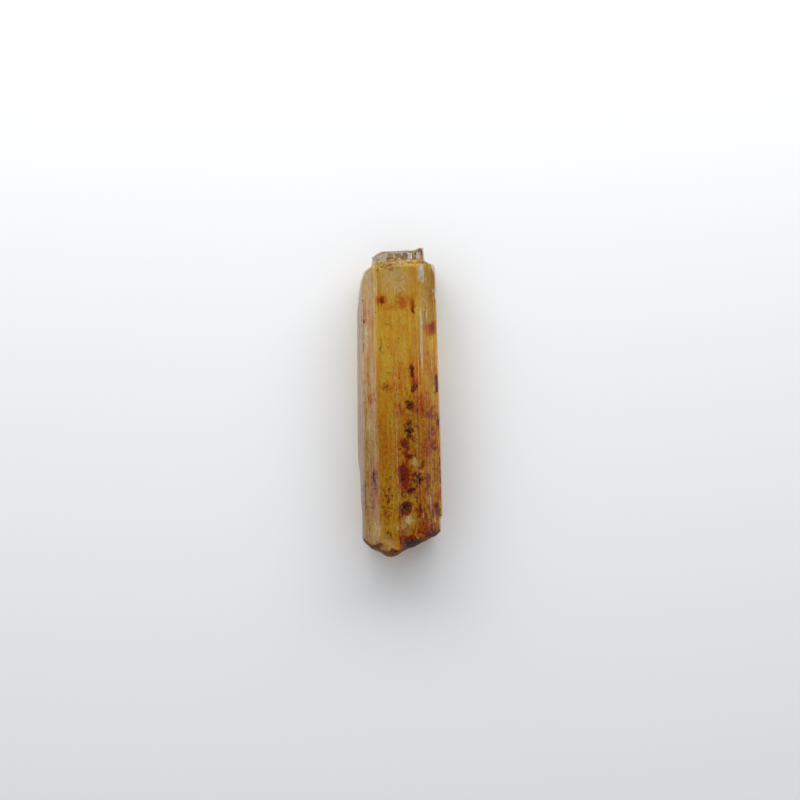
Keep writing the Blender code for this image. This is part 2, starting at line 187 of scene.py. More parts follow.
def makeCells(skin):  # a copy of the solid, divided into cells that run lengthwise
    cad = frame["nodes"]["topaz_crystal"]
    crystal = cad.copy()
    crystal.data = cad.data.copy()
    crystal.parent = None
    crystal.name = "crystalBody"
    bpy.context.scene.collection.objects.link(crystal)
    select(crystal)
    crystal.scale = (perMetre, perMetre / skin["cellLengthening"], perMetre)
    bpy.ops.object.transform_apply(location=False, rotation=False, scale=True)
    bpy.ops.object.mode_set(mode="EDIT")
    bpy.ops.mesh.select_all(action="SELECT")
    bpy.ops.mesh.remove_doubles(threshold=skin["weld"])
    bpy.ops.object.mode_set(mode="OBJECT")
    remesh = crystal.modifiers.new("cells", "REMESH")
    remesh.mode = "VOXEL"
    remesh.voxel_size = skin["cell"]
    applyModifiers(crystal)
    crystal.scale = (1, skin["cellLengthening"], 1)
    bpy.ops.object.transform_apply(location=False, rotation=False, scale=True)
    return crystal


def groupSidesAndEnds(crystal, skin):
    sides = crystal.vertex_groups.new(name="sides")
    ends = crystal.vertex_groups.new(name="ends")
    start, full = skin["sidesToEnds"]
    for vertex in crystal.data.vertices:
        share = min(1, max(0, (abs(vertex.normal.y) - start) / (full - start)))
        ends.add([vertex.index], share, "REPLACE")
        sides.add([vertex.index], 1 - share, "REPLACE")


def cutRelief(crystal, skin):
    guides = []
    for number, relief in enumerate(skin["relief"]):
        texture = bpy.data.textures.new(f"relief{number}", "CLOUDS")
        texture.noise_scale = 1.0
        texture.noise_depth = 2
        guide = bpy.data.objects.new(f"reliefGuide{number}", None)
        bpy.context.scene.collection.objects.link(guide)
        width, length = relief["width"] * 2, relief["length"] * 2  # a mark fills half of its guide
        guide.scale = (width, length, width)
        guide.location = tuple(number * step for step in skin["reliefStep"])
        guides.append(guide)
        push = crystal.modifiers.new(f"relief{number}", "DISPLACE")
        push.texture = texture
        push.texture_coords = "OBJECT"
        push.texture_coords_object = guide
        push.strength = relief["depth"]
        push.mid_level = 1.0  # so that it only cuts inwards
        push.vertex_group = relief["where"]
    bpy.context.view_layer.update()
    applyModifiers(crystal)
    for guide in guides:
        bpy.data.objects.remove(guide)


def makeCrystal(skin):
    crystal = makeCells(skin)
    groupSidesAndEnds(crystal, skin)
    cutRelief(crystal, skin)
    toMetres(crystal)
    bpy.ops.object.shade_smooth_by_angle(angle=math.radians(skin["sharpEdge"]))
    print("crystal body:", len(crystal.data.polygons), "faces")
    return crystal


# The clear crystal's finish. Colours are shares of light that pass, not paint. A pattern is given by
# the size of its marks (across, along, up), its offset and its detail. A region is given by what it
# is measured along, how far its border wanders, and where it starts and is full. A mark is given by
# how much of each pattern, place or region it adds up, and the sums where it starts and is full.
# A stained, pale or glint place is given by its middle (across, along), its half width and half length,
# and its strength. The glint places and part of the pale lines are painted highlights.
amberTopaz = {
    "ior": 1.62,
    "transmission": 0.76,
    "density": 90.0,  # per metre
    "passes": (0.985, 0.83, 0.05, 1),  # what the depth of the stone lets through
    "pale": (0.95, 0.90, 0.54, 1),
    "greyed": (0.76, 0.71, 0.24, 1),
    "golden": (1.0, 0.84, 0.12, 1),
    "deepGolden": (0.86, 0.64, 0.02, 1),
    "ledgeTint": (0.33, 0.28, 0.08, 1),
    # the block's greyish clear colour, made paler as a painted reflection of the lamp
    "blockGreyAndPaintedReflection": (0.66, 0.64, 0.44, 1),
    # painted reflection: the grey that the grazing left band reflects
    "bandReflectionGrey": (0.64, 0.67, 0.61, 1),
    "flankTint": (0.70, 0.67, 0.58, 1),
    "cloud": (1.0, 0.78, 0.54, 1),
    "streak": (0.93, 0.70, 0.44, 1),
    "grain": (0.88, 0.68, 0.44, 1),
    "rust": (0.84, 0.41, 0.16, 1),
    "blood": (0.90, 0.46, 0.50, 1),
    "maroon": (0.48, 0.20, 0.10, 1),
    "black": (0.14, 0.06, 0.04, 1),
    "rim": (0.22, 0.11, 0.05, 1),
    "haze": (1.0, 0.80, 0.34, 1),
    # painted highlight: near-white colour painted where the stone glints
    "paintedGlint": (1.0, 0.98, 0.92, 1),
    "patterns": {
        "wander": ((0.5, 0.9, 1.5), 7.0, 2.0),
        "streaks": ((0.15, 4.0, 0.20), 3.0, 3.0),
        "broadStreaks": ((0.42, 9.0, 0.5), 41.0, 2.0),
        "mottle": ((0.28, 0.50, 0.28), 11.0, 4.0),
        "specks": ((0.14, 0.24, 0.14), 31.0, 3.0),
        "clouds": ((0.9, 1.9, 0.9), 19.0, 4.0),
    },
    "bandSlant": 0.014,  # how much the grey band leans to the crystal's length
    "regions": {
        "upper": ("up", 0.0, (1.5, 4.5)),
        "left": ("across", 0.25, (-1.85, -2.25)),
        "low": ("along", 5.0, (6.0, -4.0)),
        "right": ("across", 0.22, (-0.34, -0.16)),
        "ledge": ("along", 0.0, (13.45, 13.75)),
        "block": ("across", 0.0, (1.75, 1.95)),
        "band": ("acrossSlanted", 0.0, (-3.30, -3.44)),
        "flank": ("across", 0.0, (2.1, 2.7)),
        "ledgeHalf": ("along", 0.0, (5.5, 9.0)),
        "brokenHalf": ("along", 0.0, (-6.0, -9.0)),
        "towardsBreak": ("facing", 0.0, (-0.06, -0.30)),
    },
    "growth": (  # patterns that tint the whole crystal: their starts and ends, strengths and tints
        ("clouds", (0.42, 0.62), 1.0, "cloud"),
        ("streaks", (0.46, 0.66), 0.6, "streak"),
        ("broadStreaks", (0.48, 0.60), 0.6, "streak"),
    ),
    "graininess": (("specks", (0.48, 0.60)), ("mottle", (0.50, 0.62))),
    "grainsHigh": 0.4,  # the strength of the grain tint in the half towards the ledge
    "grainsLost": 0.8,  # how much of the grain tint and the haze the break hides
    "marks": {
        "rust": (
            {
                "clouds": 0.40,
                "mottle": 0.35,
                "streaks": 0.25,
                "reds": 0.32,
                "stained": 0.12,
                "right": 0.05,
            },
            (0.50, 0.86),
        ),
        "blood": ({"clouds": 0.40, "mottle": 0.35, "streaks": 0.25, "reds": 0.30}, (0.72, 0.98)),
        "maroon": (
            {
                "mottle": 0.6,
                "specks": 0.4,
                "darks": 0.30,
                "stainedClouds": 0.44,
                "stained": -0.12,
                "broken": -0.05,
            },
            (0.59, 0.74),
        ),
        "black": ({"specks": 0.6, "mottle": 0.4, "darks": 0.20}, (0.655, 0.73)),
        "haze": ({"mottle": 0.6, "specks": 0.4, "pales": 0.34}, (0.60, 0.76)),
        # partly painted highlights along the edges, partly pale streaks
        "line": ({"streaks": 0.6, "mottle": 0.4, "lines": 0.36}, (0.64, 0.80)),
        # painted highlights: the glint places, with a few flecks scattered by the mottle and specks
        "paintedGlint": ({"mottle": 0.6, "specks": 0.4, "glints": 0.36}, (0.62, 0.80)),
    },
    "rimEven": 0.7,  # the part of the break's brown that is even; clouds give the rest
    "rimClouds": (0.34, 0.66),
    "evenHaze": 0.35,  # the haze of a pale place between its flecks
    # the share of a pale line painted white as a highlight
    "glintedLine": 0.5,
    "darkOverPale": 0.7,  # how much a maroon mark keeps of its colour under a pale one
    "smooth": 0.05,  # the roughness of a clean face, and what the rest add to it
    "streakRoughness": 0.12,
    "streakStart": (0.4, 0.75),
    "brokenRoughness": 0.80,
    "hazeRoughness": 0.15,
    "bend": {"scale": 1.8, "detail": 3.0, "reach": (1.0, 1.6, 0.0)},  # of the outlines of the places
    "placeShape": {"height": 6.0, "fade": 0.22, "edge": (1.0, 0.2)},  # fades with depth under the top
    "redPlaces": (
        ((-1.40, 9.90), (0.85, 1.00), 1.3),
        ((-0.60, 9.20), (1.10, 0.70), 0.7),
        ((1.65, 9.20), (0.34, 1.30), 1.0),
        ((0.60, 9.60), (0.90, 1.00), 0.8),
        ((-2.60, 9.00), (0.90, 1.40), 0.5),
        ((-3.00, 8.30), (0.36, 1.70), 1.2),
        ((-2.50, -8.00), (0.75, 2.80), 1.0),
        ((-2.70, 2.20), (0.60, 1.00), 0.8),
        ((3.32, 7.05), (0.85, 1.15), 2.0),
        ((1.60, 2.00), (0.60, 0.70), 1.3),
        ((-0.60, 13.00), (1.70, 0.35), 0.6),
        ((3.20, 10.50), (0.60, 1.60), 0.5),
        ((3.10, 3.50), (0.80, 2.50), 0.7),
        ((-0.90, 1.60), (1.80, 0.60), 0.7),
        ((-2.70, 0.30), (0.80, 1.20), 1.0),
        ((2.10, -0.20), (0.90, 1.60), 0.8),
        ((2.90, -4.30), (1.40, 1.30), 0.7),
        ((0.60, -7.00), (0.90, 1.80), 1.0),
        ((1.80, -8.60), (1.30, 1.20), 0.5),
        ((3.40, -10.20), (0.75, 1.50), 0.7),
        ((2.60, -12.30), (1.50, 1.00), 0.9),
    ),
    "darkPlaces": (
        ((-1.25, 9.90), (0.34, 0.55), 0.55),
        ((-0.90, 13.00), (1.60, 0.30), 0.7),
        ((1.65, 9.00), (0.20, 0.80), 0.7),
        ((3.35, 7.00), (0.30, 0.50), 0.35),
        ((1.42, 2.90), (0.30, 1.10), 1.0),
        ((1.57, 1.46), (0.45, 0.55), 0.8),
        ((-2.30, 0.50), (0.35, 0.60), 0.5),
        ((1.08, -0.30), (0.62, 1.00), 1.0),
        ((0.97, -2.60), (0.55, 1.00), 1.0),
        ((0.55, -3.80), (0.40, 0.60), 0.9),
        ((3.75, 1.70), (0.34, 1.30), 1.0),
        ((3.70, -1.80), (0.30, 0.80), 0.9),
        ((3.40, -4.40), (0.32, 0.38), 0.9),
        ((1.00, -5.15), (0.60, 0.34), 0.9),
        ((0.40, -6.90), (0.70, 1.60), 0.8),
        ((1.70, -7.20), (0.55, 0.95), 1.2),
        ((0.95, -8.45), (0.70, 0.46), 1.0),
        ((0.40, -10.00), (1.00, 0.90), 1.0),
        ((3.40, -10.20), (0.50, 0.90), 0.9),
        ((1.10, -13.40), (1.90, 1.00), 1.0),
        ((3.00, -12.80), (1.10, 0.90), 0.8),
        ((-2.45, -7.20), (0.34, 1.30), 0.9),
        ((-2.60, -9.80), (0.65, 0.50), 0.7),
        ((-1.70, -9.80), (0.40, 0.30), 0.8),
        ((-3.42, -8.40), (0.20, 2.60), 1.0),
        ((-3.18, 7.00), (0.16, 3.60), 0.9),
        ((-1.46, 5.50), (0.20, 1.20), 0.6),
        ((-3.30, 0.50), (0.10, 4.00), 0.6),
        ((3.98, -6.00), (0.20, 6.50), 0.8),
        ((3.90, 6.00), (0.10, 7.00), 0.5),
        ((1.90, -10.20), (0.50, 0.60), 0.7),
        ((2.60, -7.60), (0.40, 0.90), 0.6),
        ((2.20, -5.90), (0.30, 0.70), 0.6),
        ((2.70, -1.20), (0.30, 1.00), 0.5),
        ((0.20, -8.60), (0.40, 0.60), 0.6),
        ((-0.60, -6.60), (0.30, 0.40), 0.4),
        ((-2.75, -5.60), (0.20, 0.80), 0.5),
        ((-1.10, 1.40), (0.60, 0.14), 0.5),
        ((-1.20, -9.60), (0.90, 3.80), 0.50),
        ((-2.50, -8.20), (0.65, 2.50), 0.5),
        ((-1.30, -12.60), (0.80, 0.90), 0.5),
        ((-0.90, -14.60), (1.30, 0.50), 0.9),
        ((-0.55, 14.30), (0.20, 0.20), 0.7),
        ((0.80, 14.05), (0.22, 0.20), 0.7),
        ((-1.80, 14.20), (0.14, 0.60), 0.9),
        ((0.30, 14.80), (2.20, 0.12), 0.8),
        ((1.95, 14.20), (0.10, 0.60), 0.8),
        ((2.55, 14.20), (0.12, 0.70), 0.8),
        ((0.30, 13.55), (2.50, 0.12), 0.8),
    ),
    # Painted highlights: places where the stone glints white, painted near white.
    "glintPlaces": (
        ((1.49, 14.08), (0.30, 0.48), 1.5),
        ((2.30, 14.10), (0.34, 0.60), 0.9),
        ((2.46, 12.50), (0.85, 1.50), 0.72),
        ((2.62, 11.90), (0.60, 1.10), 0.62),
        ((2.44, 7.60), (0.22, 0.40), 1.2),
        ((3.78, 10.66), (0.16, 0.22), 1.2),
    ),
    "palePlaces": (
        ((-2.30, -12.20), (1.10, 1.90), 0.50),
        ((0.65, -11.20), (0.95, 0.50), 0.9),
        ((0.20, -11.70), (0.40, 0.40), 0.7),
        ((1.42, -5.65), (0.40, 0.65), 1.0),
        ((0.10, 13.30), (3.00, 0.45), 1.0),
        ((0.00, 11.90), (2.60, 2.40), 0.70),
        ((2.70, 10.00), (0.70, 3.50), 0.40),
        ((-3.00, 12.20), (0.70, 0.90), 0.6),
        ((-2.60, -2.50), (0.40, 1.60), 0.5),
        ((2.10, -6.60), (0.22, 0.30), 0.8),
        ((1.30, -9.30), (0.20, 0.26), 0.8),
        ((2.60, -9.00), (0.20, 0.40), 0.7),
        ((-0.50, -11.80), (0.50, 0.60), 0.5),
        ((-1.30, -13.30), (1.30, 1.10), 0.55),
        ((0.40, -12.40), (0.70, 0.60), 0.4),
    ),
    # Pale lines: painted highlights along the crystal's edges, and pale streaks along its length.
    "paleLines": (
        ((-1.78, 11.30), (0.14, 2.90), 0.8),
        ((-2.08, 4.00), (0.10, 4.50), 0.5),
        ((2.38, 6.50), (0.24, 6.50), 1.0),
        ((2.95, 8.60), (0.11, 2.20), 0.9),
        ((3.30, 4.50), (0.10, 3.50), 0.6),
        ((2.85, -9.60), (0.13, 1.80), 0.9),
        ((3.22, -10.80), (0.11, 1.20), 0.9),
        ((2.10, -10.40), (0.10, 1.40), 0.7),
        ((2.75, -4.00), (0.10, 3.50), 0.5),
        ((-0.24, 4.00), (0.08, 8.00), 0.35),
        ((-3.00, 6.00), (0.09, 6.00), 0.4),
        ((0.95, 10.00), (0.09, 3.00), 0.35),
    ),
}


def strongest(here, places, shape):  # the largest of several spots
    found = 0.0
    for centre, radii, strength in places:
        found = (here.spot(centre, radii, shape) * strength).larger(found)
    return found


def marked(found, weights, limits):  # 0 where the weighed sum is low and 1 where it is high
    total = 0.0
    for name, weight in weights.items():
        total = found[name] * weight + total
    return total.between(*limits)


def findPlaces(here, values):
    bend = values["bend"]
    inputs = {"Vector": here, "Scale": bend["scale"], "Detail": bend["detail"]}
    push = here.add("ShaderNodeTexNoise", None, inputs, "Color")
    bent = push.vector("SUBTRACT", (0.5, 0.5, 0.5)).vector("MULTIPLY", bend["reach"]).vector("ADD", here)
    shape = values["placeShape"]
    return {
        "reds": strongest(bent, values["redPlaces"], shape),
        "darks": strongest(bent, values["darkPlaces"], shape),
        "pales": strongest(bent, values["palePlaces"], shape),
        "glints": strongest(here, values["glintPlaces"], shape),
        "lines": strongest(here, values["paleLines"], shape),
    }


def findRegions(here, wander, values):
    across, along = here.axis(0), here.axis(1)
    measures = {
        "across": across,
        "along": along,
        "up": here.axis(2),
        "acrossSlanted": across - along * values["bandSlant"],
        "facing": here.add("ShaderNodeTexCoord", output="Normal").axis(1),
    }
    return {
        name: (measures[measure] + wander * wandering).between(*limits)
        for name, (measure, wandering, limits) in values["regions"].items()
    }


def topazColour(found, values):  # the clean crystal: its faces, band, flank and ledge
    leftFace = found["low"].mixed(values["pale"], values["greyed"])
    middle = found["low"].mixed(values["golden"], values["deepGolden"])
    body = (found["left"] * found["upper"]).mixed(middle, leftFace)
    # painted reflection: grey on the steep left band
    body = (found["band"] * found["upper"]).mixed(body, values["bandReflectionGrey"])
    body = body.tinted(found["flank"] * found["ledgeHalf"], values["flankTint"])
    # the block's tint is partly a painted lamp reflection
    ledgeColour = found["block"].mixed(values["ledgeTint"], values["blockGreyAndPaintedReflection"])
    return found["ledge"].mixed(body, ledgeColour)


def makeTopaz(values):
    material, shader, here = newMaterial("amberTopaz")
    found = {name: here.noise(*pattern) for name, pattern in values["patterns"].items()}
    found.update(findRegions(here, found["wander"] - 0.5, values))
    found.update(findPlaces(here, values))
    broken = found["towardsBreak"] * found["brokenHalf"]
    stained = found["low"] * found["right"]
    found.update({"broken": broken, "stained": stained, "stainedClouds": stained * found["clouds"]})
    body = topazColour(found, values)
    for name, limits, strength, tint in values["growth"]:
        body = body.tinted(found[name].between(*limits) * strength, values[tint])
    grown = 1.0 - broken * values["grainsLost"]
    grainy = (values["grainsHigh"] + found["low"] * (1 - values["grainsHigh"])) * grown
    for name, limits in values["graininess"]:
        body = body.tinted(found[name].between(*limits) * grainy, values["grain"])
    marks = {name: marked(found, *mark) for name, mark in values["marks"].items()}
    for name in ("rust", "blood", "maroon", "black"):
        body = body.tinted(marks[name], values[name])
    rimClouds = found["clouds"].between(*values["rimClouds"])
    body = body.tinted(broken * (values["rimEven"] + rimClouds * (1 - values["rimEven"])), values["rim"])
    haze = marks["haze"].larger(marks["line"]).larger(found["pales"] * values["evenHaze"]) * grown
    # painted highlights: the glint places and part of the pale lines
    paintedGlint = marks["paintedGlint"].larger(marks["line"] * values["glintedLine"])
    shown = 1.0 - marks["maroon"] * values["darkOverPale"]
    body = (haze * shown).mixed(body, values["haze"])
    body = (paintedGlint * shown).mixed(body, values["paintedGlint"])
    feed(shader, "Base Color", body)
    streaked = found["streaks"].between(*values["streakStart"]) * values["streakRoughness"]
    uneven = broken * values["brokenRoughness"] + haze * values["hazeRoughness"]
    feed(shader, "Roughness", values["smooth"] + streaked + uneven)
    shader.inputs["IOR"].default_value = values["ior"]
    shader.inputs["Transmission Weight"].default_value = values["transmission"]
    tree = material.node_tree
    volume = tree.nodes.new("ShaderNodeVolumeAbsorption")
    volume.inputs["Color"].default_value = values["passes"]
    volume.inputs["Density"].default_value = values["density"]
    tree.links.new(volume.outputs[0], tree.nodes["Material Output"].inputs["Volume"])
    print("topaz:", len(tree.nodes), "nodes")
    return material


# What is shut in just under the crystal's skin, and flakes there that paint its highlights. Each crowd of
# grains is given by its middle seen from above (across, along), its half width and half length, and how
# many grains it holds.
blackGrains = {
    "piece": "blackGrains",
    "mineral": "umberStain",
    "seed": 4,
    "pattern": "crumb",
    "shape": (0.8, 1.4, 0.6),
    "size": (0.03, 0.09),
    "depth": (0.08, 0.35),
    "crowds": (
        ((0.97, -2.64), (0.28, 0.58), 110),
        ((1.15, -2.00), (0.16, 0.30), 24),
        ((0.55, -3.74), (0.19, 0.34), 34),
        ((1.42, 3.15), (0.15, 0.70), 90),
        ((1.57, 1.46), (0.20, 0.34), 26),
        ((1.77, -7.01), (0.17, 0.32), 70),
        ((1.41, -7.58), (0.15, 0.20), 44),
        ((1.50, -7.97), (0.12, 0.12), 20),
        ((-3.58, -12.75), (0.13, 0.20), 22),
        ((-2.63, -13.62), (0.50, 0.15), 70),
        ((-1.46, 5.51), (0.09, 0.75), 34),
        ((-3.10, 9.76), (0.05, 0.30), 16),
        ((-3.17, 5.22), (0.05, 0.68), 24),
        ((-3.42, -7.70), (0.06, 0.90), 44),
        ((-3.38, -9.80), (0.06, 0.80), 24),
        ((-0.58, 14.40), (0.10, 0.12), 10),
        ((0.81, 14.10), (0.15, 0.14), 22),
        ((-1.74, -9.77), (0.17, 0.13), 12),
        ((0.38, -10.05), (0.55, 0.50), 60),
        ((3.92, 10.90), (0.07, 0.12), 10),
        ((-1.28, 13.42), (0.12, 0.10), 12),
        ((-0.90, 13.36), (0.10, 0.08), 8),
        ((0.74, 13.25), (0.11, 0.10), 10),
        ((-1.32, 9.40), (0.10, 0.16), 10),
        ((1.00, -13.40), (1.30, 0.45), 60),
    ),
}

maroonGrains = {
    "piece": "maroonGrains",
    "mineral": "maroonStain",
    "seed": 9,
    "pattern": "plate",
    "shape": (1.0, 1.6, 1.0),
    "size": (0.02, 0.07),
    "depth": (0.10, 0.9),
    "crowds": (
        ((1.08, -0.32), (0.42, 0.78), 110),
        ((1.57, 1.46), (0.30, 0.46), 50),
        ((3.72, 1.73), (0.16, 0.87), 50),
        ((3.70, -1.75), (0.14, 0.48), 26),
        ((3.44, -4.40), (0.19, 0.24), 20),
        ((0.38, -10.02), (0.66, 0.62), 170),
        ((3.40, -10.20), (0.40, 0.73), 80),
        ((1.20, -13.40), (1.40, 0.55), 190),
        ((0.95, -8.44), (0.38, 0.30), 60),
        ((-1.29, 9.90), (0.30, 0.66), 24),
        ((1.65, 9.30), (0.16, 0.70), 30),
        ((1.00, -5.15), (0.40, 0.18), 36),
        ((-2.28, 0.50), (0.12, 0.34), 14),
        ((-2.49, -7.23), (0.18, 0.82), 50),
        ((-1.00, 1.43), (0.72, 0.26), 50),
        ((0.15, -7.20), (0.22, 0.95), 60),
        ((1.60, -2.50), (1.60, 4.20), 150),
        ((1.90, -9.30), (1.70, 3.60), 220),
        ((0.00, 0.00), (3.00, 12.50), 120),
        ((-1.60, -14.0), (0.90, 0.45), 60),
    ),
}

rustGrains = {
    "piece": "rustGrains",
    "mineral": "rustStain",
    "seed": 15,
    "pattern": "plate",
    "shape": (1.0, 1.8, 1.0),
    "size": (0.02, 0.07),
    "depth": (0.12, 1.2),
    "crowds": (
        ((1.60, 9.39), (0.20, 0.80), 40),
        ((0.30, 9.72), (0.50, 0.90), 60),
        ((3.32, 7.02), (0.40, 0.80), 160),
        ((2.73, -12.20), (0.97, 0.80), 140),
        ((-1.24, -12.49), (0.30, 0.26), 26),
        ((1.40, -4.00), (1.70, 7.00), 260),
        ((0.50, 9.60), (1.90, 1.10), 60),
        ((-0.40, 13.25), (1.30, 0.16), 40),
        ((2.54, 13.40), (0.30, 0.14), 16),
        ((3.20, 0.00), (0.60, 11.00), 190),
        ((-3.20, 6.60), (0.07, 3.20), 60),
        ((0.00, 4.00), (1.90, 9.00), 110),
    ),
}

# Pale flecks: pale inclusions, and painted highlights on the glint places and along the edges.
paleFlecks = {
    "piece": "paleFlecks",
    "mineral": "creamFractureAndGlint",
    "seed": 21,
    "pattern": "plate",
    "shape": (0.8, 1.7, 0.8),
    "size": (0.03, 0.08),
    "depth": (0.05, 0.20),
    "crowds": (
        ((2.60, 12.20), (0.28, 0.80), 70),
        ((2.35, 10.90), (0.10, 0.60), 26),
        ((1.42, -5.65), (0.22, 0.46), 36),
        ((0.70, -11.20), (0.50, 0.40), 90),
        ((2.44, 8.54), (0.05, 0.10), 14),
        ((2.42, 7.67), (0.05, 0.10), 8),
        ((3.78, 10.66), (0.06, 0.09), 10),
        ((1.49, 14.02), (0.12, 0.24), 60),
        ((1.20, -2.55), (0.04, 0.07), 6),
        ((2.35, 5.50), (0.10, 5.00), 90),
        ((-2.50, -12.30), (0.80, 1.10), 60),
        ((-1.95, 11.60), (0.06, 1.90), 50),
        ((2.60, 9.00), (0.50, 1.50), 30),
        ((-2.80, 8.00), (0.50, 5.00), 40),
    ),
}

# White flakes under the skin that paint the stone's brightest highlights.
glintFlakes = {
    "piece": "glintFlakes",
    "mineral": "glintWhite",
    "seed": 25,
    "pattern": "plate",
    "shape": (1.0, 1.4, 0.8),
    "size": (0.05, 0.11),
    "depth": (0.03, 0.12),
    "crowds": (
        ((1.49, 14.03), (0.13, 0.30), 44),
        ((2.20, 14.20), (0.16, 0.40), 14),
        ((2.60, 12.30), (0.24, 0.70), 44),
        ((2.44, 7.60), (0.06, 0.14), 8),
        ((3.78, 10.66), (0.06, 0.10), 6),
    ),
}

# Pale needles: pale streaks on the flank, and painted highlights along the edges and on the block.
paleNeedles = {
    "piece": "paleNeedles",
    "mineral": "creamFractureAndGlint",
    "seed": 27,
    "pattern": "crumb",
    "shape": (0.35, 7.0, 0.30),
    "size": (0.04, 0.09),
    "depth": (0.06, 0.22),
    "crowds": (
        ((2.85, -9.65), (0.40, 0.90), 12),
        ((3.60, -10.21), (0.06, 0.30), 3),
        ((2.41, 14.00), (0.36, 0.20), 8),
        ((2.95, 7.80), (0.35, 1.60), 14),
        ((3.10, -1.00), (0.50, 9.00), 30),
        ((2.38, 7.00), (0.10, 4.00), 20),
        ((-1.95, 11.50), (0.06, 1.60), 6),
        ((-3.05, 2.00), (0.50, 9.00), 22),
        ((0.00, 4.00), (1.80, 8.00), 12),
    ),
}

cleavageCracks = {
    "piece": "cleavageCracks",
    "mineral": "umberStain",
    "seed": 33,
    "pattern": "plate",
    "shape": (2.0, 0.5, 1.0),
    "size": (0.08, 0.16),
    "depth": (0.12, 0.50),
    "crowds": (
        ((-0.78, 7.57), (0.14, 0.03), 3),
        ((-0.86, 2.93), (0.10, 0.03), 3),
        ((-1.90, 8.60), (0.20, 0.90), 2),
        ((0.60, 11.60), (0.70, 0.50), 4),
        ((0.20, -6.00), (2.60, 6.00), 12),
    ),
}


# A few irregular grains, about 2 across, are the patterns that every crowd's grains are copied from.
grainForms = {
    "kinds": 4,
    "plateCorners": 7,
    "plateDepth": 0.24,
    "unevenness": 0.55,
    "gathering": (0.5, 1.0),  # draws the grains towards the middle of their crowd
    "tilt": 0.12,  # radians, the usual lean out of the crystal's length
    "clearance": 1.4,  # from the skin, in half widths of the grain
    "lookFrom": 20,  # a height above the crystal
}


def makePattern(values, number):
    bpy.ops.object.select_all(action="DESELECT")
    if values["pattern"] == "crumb":
        bpy.ops.mesh.primitive_ico_sphere_add(subdivisions=1, radius=1)
    else:
        corners, depth = grainForms["plateCorners"], grainForms["plateDepth"]
        bpy.ops.mesh.primitive_cylinder_add(vertices=corners, radius=1, depth=depth)
    grain = bpy.context.object
    grain.name = f"{values['piece']}Pattern{number}"
    bpy.ops.object.mode_set(mode="EDIT")
    bpy.ops.mesh.select_all(action="SELECT")
    bpy.ops.transform.vertex_random(offset=grainForms["unevenness"], seed=values["seed"] + number)
    bpy.ops.transform.resize(value=values["shape"])
    bpy.ops.object.mode_set(mode="OBJECT")
    return grain


def underSkin(skin, across, along, depth, reach):  # a place inside the crystal, or None outside it
    above = Vector((across, along, grainForms["lookFrom"])) / perMetre
    place = skin.ray_cast(above, Vector((0, 0, -1)))[0]
    if place is None:
        return None
    place.z -= depth / perMetre
    nearest, normal = skin.find_nearest(place)[:2]
    if (nearest - place).dot(normal) * perMetre < reach:
        place = nearest - normal * reach / perMetre
    return place * perMetre if place.z * perMetre > reach else None


def makeGrains(skin, values, patterns):
    dice = random.Random(values["seed"])
    tilt = grainForms["tilt"]
    breadth = max(values["shape"][0], values["shape"][2]) * grainForms["clearance"]
    grains = []
    for (across, along), (halfWidth, halfLength), count in values["crowds"]:
        for _ in range(count):
            size = dice.uniform(*values["size"])
            away = math.sqrt(dice.random()) * dice.uniform(*grainForms["gathering"])
            turn = dice.uniform(0, math.tau)
            x = across + halfWidth * away * math.cos(turn)
            y = along + halfLength * away * math.sin(turn)
            lean, roll, yaw = dice.gauss(0, tilt), dice.uniform(0, math.tau), dice.gauss(0, tilt)
            pattern, depth = dice.choice(patterns), dice.uniform(*values["depth"])
            place = underSkin(skin, x, y, depth, size * breadth)
            if place is None:
                continue
            grain = pattern.copy()
            grain.data = pattern.data.copy()
            bpy.context.scene.collection.objects.link(grain)
            grain.location = place
            grain.rotation_euler = (lean, roll, yaw)
            grain.scale = (size,) * 3
            grains.append(grain)
    return grains


def makeCrowds(skin, values, stains):
    patterns = [makePattern(values, number) for number in range(grainForms["kinds"])]
    grains = makeGrains(skin, values, patterns)
    for pattern in patterns:
        bpy.data.objects.remove(pattern)
    bpy.ops.object.select_all(action="DESELECT")
    for grain in grains:
        grain.select_set(True)
    piece = grains[0]
    bpy.context.view_layer.objects.active = piece
    bpy.ops.object.join()
    bpy.ops.object.transform_apply(location=True, rotation=True, scale=True)
    toMetres(piece)
    piece.name = values["piece"]
    piece.data.materials.clear()
    piece.data.materials.append(stains[values["mineral"]])
    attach(piece, "root")
    print(values["piece"], len(grains), "grains,", len(piece.data.polygons), "faces")


# The minerals of the grains, and the colours of the flakes that paint highlights: two shades that mix in
# small patches, and the least roughness.
minerals = {
    "umberStain": {"first": (0.030, 0.008, 0.004, 1), "second": (0.080, 0.022, 0.010, 1), "rough": 0.4},
    "maroonStain": {"first": (0.10, 0.018, 0.007, 1), "second": (0.24, 0.055, 0.016, 1), "rough": 0.4},
    "rustStain": {"first": (0.34, 0.085, 0.014, 1), "second": (0.52, 0.19, 0.035, 1), "rough": 0.4},
    # partly pale fractures, partly painted highlights
    "creamFractureAndGlint": {"first": (0.62, 0.48, 0.20, 1), "second": (0.84, 0.72, 0.42, 1), "rough": 0.25},
    # painted highlight: the white of the glint flakes
    "glintWhite": {"first": (0.86, 0.86, 0.82, 1), "second": (0.95, 0.95, 0.93, 1), "rough": 0.2},
}
mineralPatches = {"noise": ((0.15, 0.3, 0.15), 5.0, 2.0), "limits": (0.3, 0.7), "roughening": 0.3}


def makeMineral(name, values):
    material, shader, here = newMaterial(name)
    shade = here.noise(*mineralPatches["noise"])
    colour = shade.between(*mineralPatches["limits"]).mixed(values["first"], values["second"])
    feed(shader, "Base Color", colour)
    feed(shader, "Roughness", shade * mineralPatches["roughening"] + values["rough"])
    return material


sheet = {
    "width": 3.0,  # in metres, like the gap under the crystal
    "gap": 0.00006,
    "colour": (0.825, 0.84, 0.855, 1),
    "roughness": 0.6,
}


